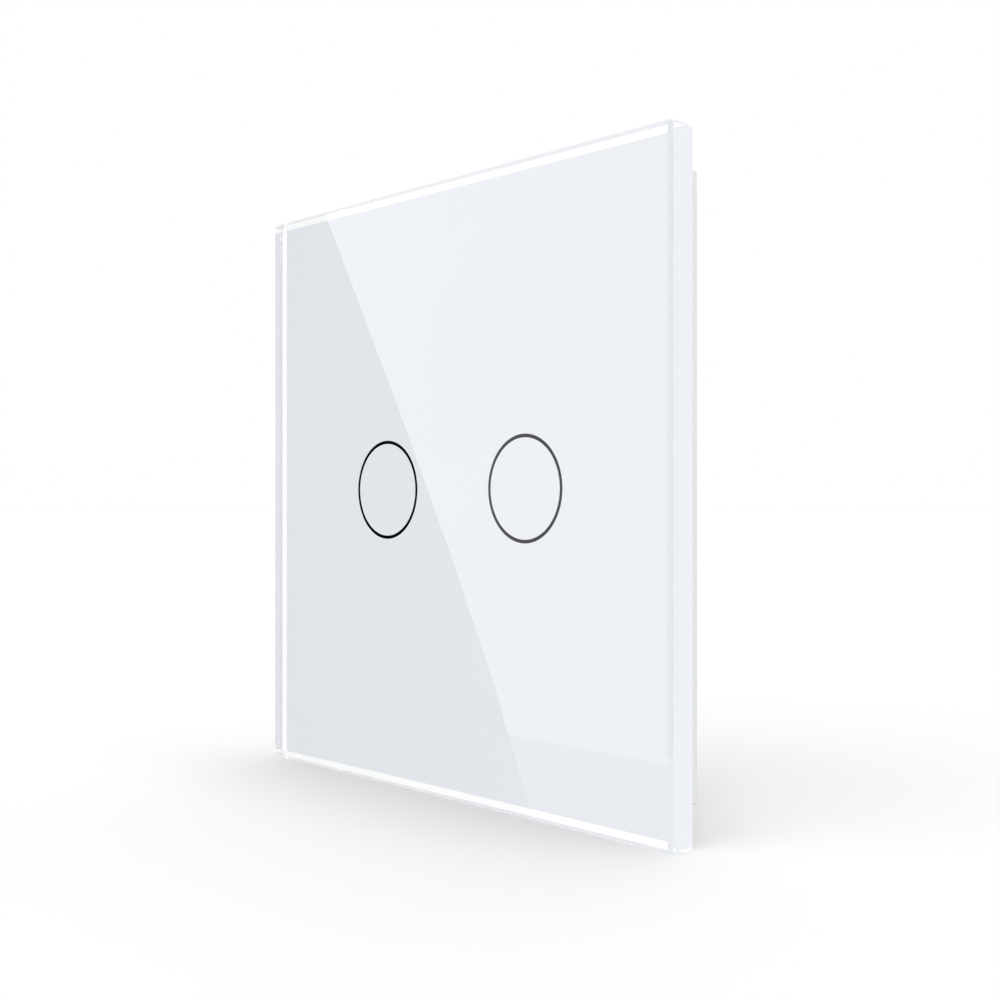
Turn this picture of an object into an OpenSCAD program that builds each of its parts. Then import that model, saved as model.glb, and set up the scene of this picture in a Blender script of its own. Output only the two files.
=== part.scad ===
// Two-key glass touch light switch for a round wall box.
// X runs to the right, Y runs into the wall and Z runs up, in millimetres.
// The wall plane is y = 0 at the back of the mounting bracket, and the origin is its centre.

/* [Glass panel] */
// Side of the square glass panel
panel_side = 80; // [78:0.5:86]
// Thickness of the glass
glass_t = 4; // [3:0.1:6]
// Bevel around the front of the glass and at its corners
glass_bevel = 0.45; // [0.2:0.05:0.8]
// Width of the bevel around the back of the glass
glass_rear_w = 0.75; // [0.3:0.05:1]
// Depth of the bevel around the back of the glass
glass_rear_d = 0.45; // [0.2:0.05:0.8]
// Thickness of the white print on the back of the glass
print_t = 0.15; // [0.1:0.05:0.3]
// Bare glass between the rear bevel and the print
print_inset = 0.05; // [0.05:0.05:1]
// Distance between the centres of the two touch rings
key_pitch = 28; // [26:0.2:31]
// Outer radius of a touch ring
ring_r = 6.76; // [6:0.02:7.4]
// Line width of a touch ring
ring_line = 0.45; // [0.3:0.05:0.9]

/* [Panel frame] */
// Step from the edge of the glass in to the frame
frame_inset = 3.85; // [2:0.05:5]
// Depth of the frame, front to back
frame_depth = 4.25; // [4.1:0.05:6]
// Wall of the frame's skirt
frame_wall = 1.2; // [0.8:0.1:1.6]
// Width of the frame's front flange, with the skirt
flange_w = 4; // [3:0.5:5]
// Thickness of the front flange
flange_t = 1.2; // [0.8:0.1:1.6]
// Thickness of the bonding tape
tape_t = 0.4; // [0.2:0.1:1]
// Margin of the flange on each side of the tape
tape_inset = 0.5; // [0.2:0.1:1]
// Gap between the frame and the wall
wall_gap = 0.2; // [0.1:0.1:0.6]
// Width of the pry notch in the lower skirt
pry_w = 10; // [6:0.5:16]
// Depth of the pry notch, along the skirt
pry_d = 1.2; // [0.8:0.1:2]

/* [Mounting bracket] */
// Sheet thickness of the bracket
sheet_t = 1; // [0.8:0.1:1.3]
// Cut at each corner of the bracket
bracket_cut = 3; // [1:0.5:6]
// How far the housing seat is pressed forward
seat_step = 0.3; // [0.2:0.05:0.5]
// Width of the slope around the pressed seat
seat_shoulder = 0.6; // [0.5:0.1:1]
// Spacing of the wall screws
screw_spacing = 60; // [58:0.5:61]
// Width of a wall screw slot
slot_w = 3.8; // [3.2:0.1:4.4]
// Length of a wall screw slot
slot_l = 5.8; // [4.8:0.1:6.2]
// Width of a snap lug
lug_w = 8; // [6:0.5:12]
// Distance of a snap lug from the centre line
lug_z = 20; // [14:0.5:24]
// Width of the metal left around the window of a snap lug
lug_rim = 0.5; // [0.4:0.05:0.6]

/* [Front cover] */
// Side wall of the cover
cover_wall = 1.4; // [1:0.1:2]
// Front plate of the cover
cover_plate = 1.2; // [1:0.1:1.5]
// Gap between the print and the cover
cover_gap = 0.95; // [0.6:0.05:1.2]
// Bevel around the front of the cover
cover_bevel = 0.5; // [0.2:0.1:0.8]
// Radius of a cover post that presses on the sensor board
cover_post_r = 1.5; // [1:0.1:2]

/* [Light guides and touch springs] */
// Lip of a light guide outside its ring
guide_lip = 0.45; // [0.2:0.05:0.7]
// Wall of a light guide
guide_wall = 1.6; // [1.2:0.1:1.9]
// Width of the flange around a light guide
guide_flange_w = 1.3; // [0.8:0.1:1.6]
// Thickness of that flange
guide_flange_t = 0.8; // [0.5:0.1:1]
// Gap between a light guide and the print
guide_gap = 0.25; // [0.1:0.05:0.5]
// Radius of a touch spring, to the middle of its wire
spring_r = 4; // [3:0.1:4.4]
// Diameter of the spring wire
wire_d = 0.4; // [0.3:0.05:0.5]
// Gap between two turns of a touch spring
coil_gap = 0.45; // [0.45:0.05:0.8]
// Gap between a touch spring and the print
spring_gap = 0.1; // [0.1:0.05:0.3]

/* [Circuit boards] */
// Thickness of the sensor board
sensor_t = 1.2; // [0.8:0.1:1.6]
// Drop from the bracket's seat to the sensor board
board_drop = 0.7; // [0.6:0.1:1.2]
// Thickness of the power board
power_t = 1.6; // [1:0.1:2]
// Space between the two boards
board_space = 2.8; // [2.4:0.1:4]
// Seat of the sensor board on the housing's ribs
sensor_ledge = 0.8; // [0.5:0.1:1.2]
// Seat of the power board on the housing's ribs
power_ledge = 1; // [0.6:0.1:1.4]
// Height of an indicator lamp
led_h = 0.8; // [0.5:0.1:1]
// Length of the touch controller chip
chip_l = 8.6; // [6:0.1:9]
// Width of that chip's body
chip_w = 3.9; // [3:0.1:5]
// Height of that chip's body
chip_h = 1.3; // [0.8:0.1:1.4]
// Legs on each side of that chip
chip_legs = 7; // [4:1:8]
// Length of a small chip part on the sensor board
passive_l = 2; // [1.6:0.1:2.4]
// Width of a small chip part
passive_w = 1.25; // [0.8:0.05:1.4]
// Height of a small chip part
passive_h = 0.6; // [0.4:0.05:0.9]
// Pitch of the rows of small chip parts
passive_pitch = 3.75; // [2.5:0.05:4]
// Rows of small chip parts
passive_rows = 3; // [1:1:4]
// Number of pins in the plug between the boards
pin_count = 6; // [4:1:7]
// Pitch of those pins
pin_pitch = 1.5; // [1.27:0.01:1.6]
// Width of a square pin
pin_w = 0.6; // [0.5:0.05:0.7]

/* [Rear housing] */
// Wall of the housing
housing_wall = 1.5; // [1.2:0.1:2]
// Cut at each corner of the housing
housing_cut = 6; // [5:0.5:7]
// Width of the bevel around the rear of the housing
rear_bevel_w = 4.5; // [3:0.1:5]
// Depth of that bevel
rear_bevel_d = 5.2; // [4:0.1:5.6]
// Radius of a corner post
post_r = 2.4; // [2:0.1:2.8]
// Radius of a housing screw
screw_r = 1.2; // [1:0.05:1.4]
// Length of a housing screw under its head
screw_l = 11; // [7:0.5:12]
// Width of a board rib
rib_w = 4; // [2:0.5:6]
// Distance of a board rib from the centre line
rib_z = 8; // [6:0.5:10]
// Room behind the relays
rear_room = 1.5; // [1:0.1:3]

/* [Relays] */
// Width of a relay
relay_w = 17.6; // [17:0.1:19]
// Depth of a relay across its coil
relay_d = 12.5; // [11.5:0.1:13]
// Height of a relay off the board
relay_h = 10.2; // [9.6:0.1:12]
// Gap between the two relays
relay_gap = 2.6; // [1:0.1:4]
// Wall of a relay case
case_wall = 0.6; // [0.5:0.05:0.8]
// Thickness of the yoke and the armature
yoke_t = 1; // [0.8:0.1:1.1]
// Radius of the coil's core
core_r = 1.6; // [1.2:0.1:1.8]
// Radius of the coil's winding
winding_r = 3; // [2.4:0.1:3.1]

/* [Terminals] */
// Pitch of the terminals
way_pitch = 7.6; // [7.4:0.1:7.8]
// Width of a clamp cage
cage_w = 5.2; // [4.8:0.1:5.6]
// Length of a clamp cage along the wire
cage_d = 4.8; // [4:0.1:5.2]
// Wall of a clamp cage
cage_wall = 0.8; // [0.6:0.05:1]
// Opening for the wire in an open clamp
wire_gap = 2.8; // [2.4:0.1:3]
// Thickness of a contact bar
bar_t = 0.8; // [0.6:0.1:1]
// Pitch of the clamp screw's thread
thread_pitch = 0.5; // [0.4:0.05:0.5]
// Turns from open to closed
clamp_turns = 4; // [3:0.5:4]
// Radius of a clamp screw
clamp_r = 1.45; // [1.2:0.05:1.5]
// Radius of a clamp screw's head
head_r = 2; // [1.8:0.05:2.2]
// Height of a clamp screw's head
head_h = 1.1; // [0.9:0.1:1.4]
// Side of a square wire entry
entry_w = 3.4; // [3:0.1:3.5]

/* [Power supply parts] */
// Length of the film capacitor
film_l = 13; // [10:0.5:14]
// Thickness of the film capacitor
film_t = 5.5; // [4:0.1:6]
// Height of the film capacitor
film_h = 10; // [7:0.1:10.5]
// Radius of the smoothing capacitor
can_r = 4; // [3:0.1:4.5]
// Height of the smoothing capacitor
can_h = 7; // [5:0.1:7.2]
// Radius of the surge disc
disc_r = 3.6; // [3:0.1:4]
// Thickness of the surge disc
disc_t = 3; // [2:0.1:3.4]
// Radius of the fuse resistor
fuse_r = 1.6; // [1:0.1:1.8]
// Length of the fuse resistor
fuse_l = 7; // [5:0.1:8]

/* [Clearances] */
// Gap between the bracket's edge and the frame's skirt
skirt_gap = 0.4; // [0.3:0.05:0.6]
// Gap left by a snap ridge
ridge_gap = 0.15; // [0.1:0.05:0.2]
// Gap around a board, a housing or a block in its seat
seat_gap = 0.3; // [0.2:0.05:0.4]
// Gap around a moulded part in its hole
slip = 0.15; // [0.1:0.05:0.2]
// Gap around a screw, a pin or a bar in its hole
snug = 0.05; // [0.03:0.01:0.08]
// Gap around a clamp cage in its cell
cage_gap = 0.2; // [0.15:0.05:0.25]
// Gap between parts that stand side by side
part_gap = 0.6; // [0.5:0.1:0.9]

/* [Hidden] */
$fn = 64;

// A cut runs this far past the face that it opens
past = 1;
sides = [-1, 1];
corners = [for (i = sides, k = sides) [i, k]];

// Depths of the front panel, from the wall forward
y_frame_back = -wall_gap;
y_frame_front = y_frame_back - frame_depth;
y_print_back = y_frame_front - tape_t;
y_glass_back = y_print_back - print_t;
y_glass_front = y_glass_back - glass_t;

// Half sizes of the front panel
panel_half = panel_side / 2;
print_half = panel_half - glass_rear_w - print_inset;
frame_half = panel_half - frame_inset;
skirt_in = frame_half - frame_wall;
flange_in = frame_half - flange_w;
key_x = key_pitch / 2;
pry_h = frame_wall + past;

// Depths of the fixed base
y_bracket_front = -sheet_t;
y_seat_back = -seat_step;
y_seat_front = y_seat_back - sheet_t;
y_cover_front = y_print_back + cover_gap;
y_cover_in = y_cover_front + cover_plate;
y_sensor = y_seat_back + board_drop;
y_sensor_back = y_sensor + sensor_t;
y_power = y_sensor_back + board_space;
y_power_back = y_power + power_t;

// Relays side by side set the width of the housing
relay_edge = relay_gap / 2 + relay_w;
rib_in_power = relay_edge + part_gap;
power_half = rib_in_power + power_ledge;
rib_in_sensor = power_half + seat_gap;
sensor_half = rib_in_sensor + sensor_ledge;
house_in = sensor_half + seat_gap;
house_half = house_in + housing_wall;

// Corner posts lie just inside the cut corners, and the boards are cut clear of them
post_skin = 0.3;
post_at = house_half - housing_cut / 2 - (post_r + post_skin) / sqrt(2);
board_sum = 2 * post_at - (post_r + seat_gap) * sqrt(2);

// Seat of the housing in the bracket, and the cover around it
seat_back_half = house_half + seat_gap;
seat_front_half = seat_back_half + seat_shoulder;
cover_in = seat_front_half + slip;
cover_half = cover_in + cover_wall;
bracket_half = skirt_in - skirt_gap;
opening_half = power_half - power_ledge;
slot_rim = 1.2;
slot_at = min(screw_spacing / 2, bracket_half - slot_rim - slot_w / 2);

// Heads of the housing screws, sunk in the cover
screw_lip = 0.9;
screw_head_r = screw_r + screw_lip;
screw_head_h = cover_plate - slip;
y_screw_head = y_cover_front + screw_head_h;
boss_r = screw_head_r + screw_lip;

// Snap lugs and ridges
y_lug_front = y_frame_front + flange_t + seat_gap;
lug_window = [y_lug_front + lug_rim, y_bracket_front - lug_rim];
ridge_w = lug_w / 2;

// Light guides and touch springs
guide_out = ring_r + guide_lip;
guide_in = guide_out - guide_wall;
y_guide_front = y_print_back + guide_gap;
y_guide_back = y_sensor - led_h - slip;
led_r = (guide_out + guide_in) / 2;
y_spring_front = y_print_back + spring_gap;
tube_sides = 6;
curl_rings = 8;
spring_bend = 0.75 * wire_d;
spring_rise = y_sensor - y_spring_front - 2 * (wire_d + spring_bend);
spring_steps = floor(spring_rise / (wire_d + coil_gap) * curl_rings);

// Clamps, from the power board to the rear
block_floor = 0.6;
block_wall = 1.15;
tip_room = 1.1;
y_cage = y_power_back + block_floor + 2 * cage_gap;
y_wire = y_cage + cage_wall;
y_bar = y_wire + wire_gap;
y_cage_near = y_bar + bar_t + tip_room;
y_cage_back = y_cage_near + cage_wall;
clamp_travel = thread_pitch * clamp_turns;
y_roof = y_cage_back + clamp_travel + snug;
y_head = y_roof + block_floor + snug;
y_head_back = y_head + head_h;
y_block_back = y_head_back + snug;

// Rear of the housing, behind whatever stands tallest
y_house_in = max(y_power_back + relay_h + rear_room, y_block_back + seat_gap);
y_house_back = y_house_in + housing_wall;
y_bevel = y_house_back - rear_bevel_d;
bevel_slope = rear_bevel_w / rear_bevel_d;
bevel_wall = housing_wall * sqrt(1 + bevel_slope * bevel_slope);
y_bevel_in = y_bevel + (housing_wall - bevel_wall) / bevel_slope;

// Inside half width of the housing at a depth within the bevel
function inner_half(y) = house_half - bevel_wall - (y - y_bevel) * bevel_slope;

// Places of the clamps
ways = 4;
way_x = [for (i = [0:ways - 1]) (i - (ways - 1) / 2) * way_pitch];
head_bore_r = head_r + slip;
z_block_rear = seat_gap - inner_half(y_block_back);
z_clamp = z_block_rear + block_wall + head_bore_r;
z_block_in = z_clamp + cage_d / 2 + cage_gap + block_wall;
z_block_out = seat_gap - house_in;
block_half = way_x[ways - 1] + cage_w / 2 + cage_gap + block_wall;
bar_w = cage_w - 2 * (cage_wall + cage_gap);
y_entry = y_wire + wire_gap / 2;

// Places of the relays
relay_x = [for (s = sides) s * (relay_gap + relay_w) / 2];
z_relay = z_block_in + bar_t + part_gap + relay_d / 2;
z_row = z_relay + relay_d / 2 + part_gap;

// Inside of a relay, from its own centre line and the board
case_in_w = relay_w / 2 - case_wall;
case_in_d = relay_d / 2 - case_wall;
case_in_h = relay_h - case_wall;
base_t = 1;
yoke_margin = 1.6;
yoke_room = 1;
armature_room = 2.7;
yoke_x = part_gap - case_in_w;
yoke_half = case_in_d - yoke_margin;
yoke_back = case_in_h - yoke_room;
pivot_gap = 0.1;
bead_r = yoke_t / 4;
core_gap = 0.5;
armature_x = case_in_w - armature_room;
armature_half = yoke_half - seat_gap;
pivot_h = yoke_back - yoke_t / 2;
core_h = (base_t + yoke_back - yoke_t) / 2;
leaf_t = 0.2;
leaf_half = 1.5;
leaf_foot = 0.3;
button_r = 0.6;
button_h = base_t + leaf_foot + button_r;
contact_travel = 0.45;
contact_proud = 0.05;

// A block between two opposite corners
module box(low, high) {
    translate(low) cube(high - low);
}

// An outline in X and Z, made solid between two depths
module slab(y0, y1) {
    translate([0, y1, 0]) rotate([90, 0, 0]) linear_extrude(y1 - y0) children();
}

// A round bar along Y
module rod(at, y0, y1, r) {
    slab(y0, y1) translate(at) circle(r);
}

// A round bar along X
module cross_rod(x0, x1, y, z, r) {
    translate([x0, y, z]) rotate([0, 90, 0]) cylinder(r = r, h = x1 - x0);
}

// A square with its corners cut at 45 degrees
module cut_square(half, cut) {
    e = half - cut;
    polygon([[half, -e], [half, e], [e, half], [-e, half],
        [-half, e], [-half, -e], [-e, -half], [e, -half]]);
}

// Half of a slab's section, with a bevel of [width, depth] in front and behind
function half_section(half, y0, y1, front, back) = concat(
    front[0] > 0 ? [[half - front[0], y0], [half, y0 + front[1]]] : [[half, y0]],
    back[0] > 0 ? [[half, y1 - back[1]], [half - back[0], y1]] : [[half, y1]]);

// The whole section, mirrored about its middle
function section(right) = concat(right,
    [for (i = [len(right) - 1:-1:0]) [-right[i][0], right[i][1]]]);

// A square slab with cut corners and bevels around its front and its back
module bevelled_slab(half, y0, y1, cut, front = [0, 0], back = [0, 0]) {
    outline = section(half_section(half, y0, y1, front, back));
    intersection() {
        slab(y0, y1) cut_square(half, cut);
        translate([0, 0, -half]) linear_extrude(2 * half) polygon(outline);
        translate([-half, 0, 0]) rotate([0, 90, 0]) linear_extrude(2 * half) polygon(outline);
    }
}

module ring_outline() {
    difference() {
        circle(ring_r);
        circle(ring_r - ring_line);
    }
}

module glass_panel() {
    color([0.86, 0.93, 0.92, 0.5])
        bevelled_slab(panel_half, y_glass_front, y_glass_back, glass_bevel,
            [glass_bevel, glass_bevel], [glass_rear_w, glass_rear_d]);
}

module white_backprint() {
    color("white") slab(y_glass_back, y_print_back) difference() {
        square(2 * print_half, center = true);
        for (s = sides) translate([s * key_x, 0]) ring_outline();
    }
}

module ring_window(s) {
    color([0.08, 0.08, 0.09])
        slab(y_glass_back, y_print_back) translate([s * key_x, 0]) ring_outline();
}

module bonding_tape() {
    color("lightgrey") slab(y_print_back, y_frame_front) difference() {
        square(2 * (frame_half - tape_inset), center = true);
        square(2 * (flange_in + tape_inset), center = true);
    }
}

module panel_frame() {
    color([0.9, 0.91, 0.9]) {
        difference() {
            slab(y_frame_front, y_frame_back) square(2 * frame_half, center = true);
            slab(y_frame_front - past, y_frame_back + past)
                square(2 * flange_in, center = true);
            slab(y_frame_front + flange_t, y_frame_back + past)
                square(2 * skirt_in, center = true);
            box([-pry_w / 2, y_frame_back - pry_d, -frame_half - past],
                [pry_w / 2, y_frame_back + past, -skirt_in + past]);
        }
        for (c = corners) snap_ridge(c);
    }
}

// A low ridge on the skirt that stands over the window of a snap lug
module snap_ridge(c) {
    ridge_h = skirt_gap - ridge_gap;
    middle = (lug_window[0] + lug_window[1]) / 2;
    x = [c[0] * (skirt_in - ridge_h), c[0] * (skirt_in + frame_wall / 2)];
    box([min(x), middle - ridge_h, c[1] * lug_z - ridge_w / 2],
        [max(x), middle + ridge_h, c[1] * lug_z + ridge_w / 2]);
}

// A wall screw slot, shorter on a small bracket so that metal is left outside it
module slot_outline() {
    room = 2 * (bracket_half - slot_rim - slot_at);
    reach = max(snug, (min(slot_l, room) - slot_w) / 2);
    square([2 * reach, slot_w], center = true);
    for (s = sides) translate([s * reach, 0]) circle(slot_w / 2);
}

module mounting_bracket() {
    color("silver") difference() {
        union() {
            slab(y_bracket_front, 0) cut_square(bracket_half, bracket_cut);
            slab(y_seat_front, y_bracket_front)
                cut_square(seat_front_half, housing_cut);
            for (c = corners) snap_lug(c);
        }
        slab(y_seat_back, past) cut_square(seat_back_half, housing_cut);
        slab(y_seat_front - past, past) {
            cut_square(opening_half, 2 * opening_half - board_sum);
            for (s = sides) translate([s * key_x, 0]) circle(guide_out + seat_gap);
            for (turn = [0:90:270])
                rotate(turn) translate([slot_at, 0]) slot_outline();
        }
        for (c = corners)
            rod(post_at * c, y_seat_front - past, past, screw_r + slip);
    }
}

// A lug bent forward from the bracket's edge, with a window for the frame's ridge
module snap_lug(c) {
    x = [c[0] * bracket_half, c[0] * (bracket_half - sheet_t)];
    middle = c[1] * lug_z;
    difference() {
        box([min(x), y_lug_front, middle - lug_w / 2],
            [max(x), y_bracket_front + sheet_t / 2, middle + lug_w / 2]);
        box([min(x) - past, lug_window[0], middle - ridge_w / 2 - slip],
            [max(x) + past, lug_window[1], middle + ridge_w / 2 + slip]);
    }
}

module front_cover() {
    color("white") difference() {
        union() {
            difference() {
                bevelled_slab(cover_half, y_cover_front, y_bracket_front, housing_cut / 2,
                    [cover_bevel, cover_bevel]);
                slab(y_cover_in, y_bracket_front + past)
                    cut_square(cover_in, housing_cut / 2);
            }
            for (c = corners)
                rod(post_at * c, y_cover_in - cover_plate / 2, y_seat_front, boss_r);
            for (c = corners)
                rod(cover_post(c), y_cover_in - cover_plate / 2, y_sensor, cover_post_r);
        }
        for (s = sides)
            rod([s * key_x, 0], y_cover_front - past, y_cover_in + past, guide_out + slip);
        for (c = corners) {
            rod(post_at * c, y_cover_front - past, y_screw_head, screw_head_r + slip);
            rod(post_at * c, y_cover_front, y_seat_front + past, screw_r + slip);
        }
    }
}

// Place of a cover post on the sensor board, clear of the light guides
function cover_post(c) = [c[0] * key_x / 2, c[1] * (opening_half - cover_post_r - part_gap)];

module light_guide(s) {
    color([0.85, 0.92, 0.97, 0.7]) translate([s * key_x, 0, 0]) difference() {
        union() {
            rod([0, 0], y_guide_front, y_guide_back, guide_out);
            rod([0, 0], y_cover_in, y_cover_in + guide_flange_t, guide_out + guide_flange_w);
        }
        rod([0, 0], y_guide_front - past, y_guide_back + past, guide_in);
    }
}

// A point of the spring, from its turned angle and its height over the board
function spring_point(angle, height) =
    [spring_r * cos(angle), y_sensor - height, spring_r * sin(angle)];

// The arc of a bend, as an angle about the spring's axis
function bend_angle(length) = length / spring_r * 180 / PI;

// Route of a touch spring as [angle, height]: straight foot, bend, coils, bend, straight tip
spring_first = bend_angle(spring_bend);
spring_step = 360 / curl_rings;
spring_climb = spring_rise / spring_steps;
spring_last = spring_first + spring_steps * spring_step;
spring_top = y_sensor - y_spring_front;
spring_route = concat(
    [[0, 0]],
    [for (t = [0, 45])
        [bend_angle(spring_bend * (1 - cos(t))), wire_d + spring_bend * sin(t)]],
    [for (i = [0:spring_steps])
        [spring_first + i * spring_step, wire_d + spring_bend + i * spring_climb]],
    [for (t = [45, 90])
        [spring_last + bend_angle(spring_bend * sin(t)),
            spring_top - wire_d - spring_bend * cos(t)]],
    [[spring_last + spring_first, spring_top]]);
spring_path = [for (p = spring_route) spring_point(p[0], p[1])];

// Least gap of the wire to itself, between points at least half a turn apart
spring_self_gap = min([for (i = [0:len(spring_path) - 1])
    for (k = [i + curl_rings / 2:1:len(spring_path) - 1])
        norm(spring_path[i] - spring_path[k])]) - wire_d;
echo(spring_self_gap = spring_self_gap);

function unit(v) = v / norm(v);

// A ring of the wire around one point of its path
function wire_ring(i) =
    let (last = len(spring_path) - 1)
    let (ahead = unit(spring_path[min(i + 1, last)] - spring_path[max(i - 1, 0)]))
    let (angle = spring_route[i][0])
    let (out = [cos(angle), 0, sin(angle)])
    let (side = unit(out - (out * ahead) * ahead))
    let (up = cross(ahead, side))
    [for (j = [0:tube_sides - 1])
        spring_path[i] + wire_d / 2
            * (cos(360 * j / tube_sides) * side + sin(360 * j / tube_sides) * up)];

module touch_spring(s) {
    rings = len(spring_path);
    points = [for (i = [0:rings - 1]) each wire_ring(i)];
    skin = [for (i = [0:rings - 2], j = [0:tube_sides - 1])
        let (k = (j + 1) % tube_sides)
        let (a = i * tube_sides, b = a + tube_sides)
        each [[a + j, b + k, a + k], [a + j, b + j, b + k]]];
    tip = (rings - 1) * tube_sides;
    caps = [for (j = [1:tube_sides - 2])
        each [[0, j, j + 1], [tip, tip + j + 1, tip + j]]];
    color("gold") translate([s * key_x, 0, 0])
        polyhedron(points, concat(skin, caps));
}

module board_outline(half) {
    cut_square(half, 2 * half - board_sum);
}

module sensor_board() {
    color("darkgreen") slab(y_sensor, y_sensor_back) board_outline(sensor_half);
}

module indicator_leds() {
    led = [1.6, led_h, 1];
    color("deepskyblue")
        for (s = sides, k = sides)
            translate([s * key_x, y_sensor - led_h / 2, k * led_r]) cube(led, center = true);
}

// A chip with legs on two sides, standing on a board face, its body towards dir
module chip(at, y_face, dir, body, legs) {
    leg_w = 0.5;
    leg_out = 1;
    stand = 0.15;
    y_body = [y_face + dir * stand, y_face + dir * (stand + body[1])];
    y_leg = [y_face, y_face + dir * (stand + body[1] / 2)];
    box([at[0] - body[0] / 2, min(y_body), at[1] - body[2] / 2],
        [at[0] + body[0] / 2, max(y_body), at[1] + body[2] / 2]);
    for (i = [0:legs - 1]) {
        z = at[1] + (i - (legs - 1) / 2) * body[2] / legs;
        box([at[0] - body[0] / 2 - leg_out, min(y_leg), z - leg_w / 2],
            [at[0] + body[0] / 2 + leg_out, max(y_leg), z + leg_w / 2]);
    }
}

module touch_controller_chip() {
    body = [chip_w, chip_h, chip_l];
    color([0.15, 0.15, 0.16])
        chip([0, part_gap + chip_l / 2], y_sensor, -1, body, chip_legs);
}

module sensor_passives() {
    color("tan")
        for (s = sides, row = [1:passive_rows])
            translate([s * passive_l, y_sensor - passive_h / 2, -row * passive_pitch])
                cube([passive_l, passive_h, passive_w], center = true);
}

// The plug between the boards lies near their upper edge
header_z = power_half - 3;
header_half = pin_count * pin_pitch / 2;
header_body = 0.8;
header_wide = 1.1;
pin_x = [for (i = [0:pin_count - 1]) (i - (pin_count - 1) / 2) * pin_pitch];
y_socket = y_sensor_back + header_body + slip;

module pin_holes(width, y0, y1) {
    for (x = pin_x)
        box([x - width / 2, y0, header_z - width / 2], [x + width / 2, y1, header_z + width / 2]);
}

module board_header() {
    y1 = y_sensor_back + header_body;
    color([0.12, 0.12, 0.13]) difference() {
        box([-header_half, y_sensor_back, header_z - header_wide],
            [header_half, y1, header_z + header_wide]);
        pin_holes(pin_w, y_sensor_back - past, y1 + past);
    }
}

module header_pins() {
    color("gold") pin_holes(pin_w, y_sensor_back, y_power - seat_gap);
}

module header_socket() {
    color([0.16, 0.16, 0.18]) difference() {
        box([-header_half, y_socket, header_z - header_wide],
            [header_half, y_power, header_z + header_wide]);
        pin_holes(pin_w + 2 * slip, y_socket - past, y_power - slip);
    }
}

module rear_housing() {
    vents = 5;
    vent_w = 1.2;
    vent_pitch = 2 * way_pitch / 3;
    color([0.93, 0.93, 0.92]) difference() {
        union() {
            difference() {
                bevelled_slab(house_half, y_seat_back, y_house_back, housing_cut,
                    back = [rear_bevel_w, rear_bevel_d]);
                housing_inside();
            }
            for (c = corners) corner_post(c);
            for (c = corners) board_rib(c);
        }
        for (c = corners)
            rod(post_at * c, y_seat_back - past, y_screw_head + screw_l + part_gap, screw_r + snug);
        for (x = way_x) {
            box([x - entry_w / 2, y_entry - entry_w / 2, -house_half - past],
                [x + entry_w / 2, y_entry + entry_w / 2, -house_in + past]);
            rod([x, z_clamp], y_house_in - past, y_house_back + past, head_r - slip);
        }
        for (i = [0:vents - 1]) {
            x = (i - (vents - 1) / 2) * vent_pitch;
            box([x - vent_w / 2, y_power_back + part_gap, house_in - past],
                [x + vent_w / 2, y_bevel_in - part_gap, house_half + past]);
        }
        way_dots();
    }
}

// One to four sunk dots that number the terminals on the rear face
module way_dots() {
    dot_r = 0.4;
    dot_step = 3 * dot_r;
    for (i = [0:ways - 1], k = [0:i])
        rod([way_x[i] + (k - i / 2) * dot_step, z_clamp + head_r + 2 * part_gap],
            y_house_back - dot_r, y_house_back + past, dot_r);
}

// The hollow of the housing, one wall inside its outer faces
module housing_inside() {
    in_cut = 2 * house_in - (2 * house_half - housing_cut - housing_wall * sqrt(2));
    bevelled_slab(house_in, y_seat_back - past, y_house_in, in_cut,
        back = [house_in - inner_half(y_house_in), y_house_in - y_bevel_in]);
}

module corner_post(c) {
    rod(post_at * c, y_seat_back, y_screw_head + screw_l + 2 * part_gap, post_r);
}

// A stepped rib on a side wall: the sensor board sits on its front step, the power board behind
module board_rib(c) {
    z0 = c[1] * rib_z - rib_w / 2;
    x_wall = house_in + housing_wall / 2;
    for (step = [[rib_in_sensor, y_sensor_back], [rib_in_power, y_power_back]])
        box([min(c[0] * step[0], c[0] * x_wall), step[1], z0],
            [max(c[0] * step[0], c[0] * x_wall), y_bevel_in, z0 + rib_w]);
}

module power_board() {
    color("darkgreen") slab(y_power, y_power_back) board_outline(power_half);
}

module film_capacitor() {
    x1 = -relay_gap / 2;
    color("gold")
        box([x1 - film_l, y_power_back, z_row], [x1, y_power_back + film_h, z_row + film_t]);
}

module smoothing_capacitor() {
    groove_d = 0.4;
    groove_w = 0.8;
    at = [-relay_gap / 2 - film_l / 2, z_row + film_t + part_gap + can_r];
    color([0.12, 0.14, 0.2]) difference() {
        rod(at, y_power_back, y_power_back + can_h, can_r);
        difference() {
            rod(at, y_power_back + groove_w, y_power_back + 2 * groove_w, can_r + past);
            rod(at, y_power_back, y_power_back + can_h, can_r - groove_d);
        }
    }
}

lead_r = 0.3;

module surge_disc() {
    stand = 0.8;
    x0 = relay_gap / 2;
    z = z_row + disc_r;
    y = y_power_back + stand + disc_r;
    color("royalblue") {
        cross_rod(x0, x0 + disc_t, y, z, disc_r);
        for (s = sides)
            rod([x0 + disc_t / 2, z + s * disc_r / 2], y_power_back, y, lead_r);
    }
}

module fuse_resistor() {
    stand = 0.8;
    lead = 1.2;
    x0 = relay_gap / 2 + disc_t + part_gap + lead;
    y = y_power_back + stand + fuse_r;
    z = z_row + fuse_r;
    color("burlywood") {
        cross_rod(x0, x0 + fuse_l, y, z, fuse_r);
        cross_rod(x0 - lead, x0 + fuse_l + lead, y, z, lead_r);
        for (x = [x0 - lead + lead_r, x0 + fuse_l + lead - lead_r])
            rod([x, z], y_power_back, y, lead_r);
    }
}

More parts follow.
